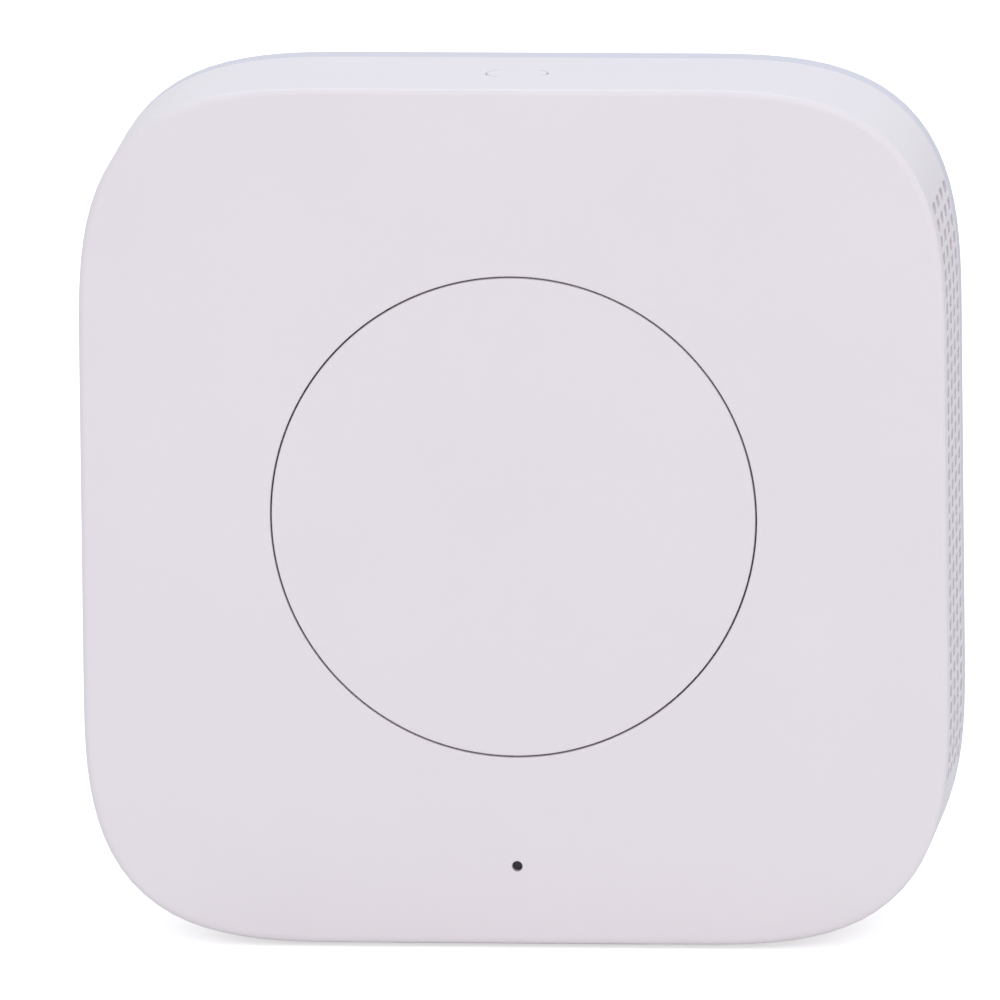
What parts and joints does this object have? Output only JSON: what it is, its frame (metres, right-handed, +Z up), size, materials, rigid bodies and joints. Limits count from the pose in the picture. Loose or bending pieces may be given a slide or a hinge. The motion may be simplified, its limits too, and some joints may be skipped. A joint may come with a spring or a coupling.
{
  "type": "smart home hub",
  "caption": "Rounded-square upright smart home hub with a round push button in its face, a pairing button on top, a slotted speaker side and sockets opposite.",
  "frame": {"origin": "middle of the body's footprint, on the plane that the rubber foot stands on", "axes": "+X to the right seen from the front, +Y from the face to the back, +Z up"},
  "size_m": [0.09, 0.0228, 0.0905],
  "materials": {
    "shell_white": "fine satin",
    "button_white": "fine satin",
    "cover_white": "satin",
    "inner_grey": "satin",
    "rubber_grey": "matte",
    "zinc_screw": "zinc plated",
    "spring_steel": "bright",
    "board_green": "solder mask",
    "chip_black": "moulded",
    "shield_tin": "tin plated",
    "pad_blue": "matte",
    "plate_aluminium": "plain",
    "module_blue": "solder mask",
    "crystal_can": "plain",
    "ferrite": "matte",
    "capacitor_can": "plain",
    "socket_black": "moulded",
    "contact_gold": "gold plated",
    "socket_steel": "plain",
    "basket_black": "moulded",
    "magnet_nickel": "nickel plated",
    "cone_black": "matte",
    "gasket_foam": "foam",
    "connector_ivory": "moulded",
    "wire_cover": "plain",
    "cloth_grey": "woven",
    "antenna_film": "plain",
    "led_white": "clear",
    "lens_smoke": "smoked",
    "plunger_gold": "moulded",
    "switch_black": "moulded",
    "ribbon_film": "film",
    "label_silver": "brushed film"
  },
  "bodies": {
    "hub_body": {"front_shell": "shell_white", "button_frame": "inner_grey", "frame_screws": "zinc_screw", "button_springs": "spring_steel", "button_board": "board_green", "button_board_screws": "zinc_screw", "main_switch_body": "switch_black", "ribbon_sockets": "connector_ivory", "button_ribbon": "ribbon_film", "main_board": "board_green", "processor": "chip_black", "memory_chip": "chip_black", "processor_shield": "shield_tin", "thermal_pad": "pad_blue", "heat_spreader": "plate_aluminium", "radio_module": "module_blue", "radio_shield": "shield_tin", "crystal": "crystal_can", "power_inductor": "ferrite", "filter_capacitors": "capacitor_can", "network_jack": "socket_black", "network_contacts": "contact_gold", "power_socket": "socket_steel", "power_tongue": "socket_black", "speaker_basket": "basket_black", "speaker_magnet": "magnet_nickel", "speaker_cone": "cone_black", "speaker_gasket": "gasket_foam", "speaker_socket": "connector_ivory", "speaker_leads": "wire_cover", "grille_cloth": "cloth_grey", "antenna_patch": "antenna_film", "antenna_lead": "antenna_film", "status_led": "led_white", "light_guide": "lens_smoke", "pair_switch_body": "switch_black", "rear_cover": "cover_white", "case_screws": "zinc_screw", "rear_pads": "rubber_grey", "label_plate": "label_silver", "foot": "rubber_grey"},
    "main_button": {"main_button": "button_white", "main_switch_plunger": "plunger_gold"},
    "pair_button": {"pair_button": "button_white", "pair_switch_plunger": "plunger_gold"}
  },
  "joints": [
    {"name": "main_button_press", "type": "slide", "parent": "hub_body", "child": "main_button", "axis": [0, 1, 0], "range_m": [0, 0.0005], "stiffness_N_per_m": 2500, "deforming": ["button_springs"]},
    {"name": "pair_button_press", "type": "slide", "parent": "hub_body", "child": "pair_button", "axis": [0, 0, -1], "range_m": [0, 0.0004], "stiffness_N_per_m": 3000}
  ]
}
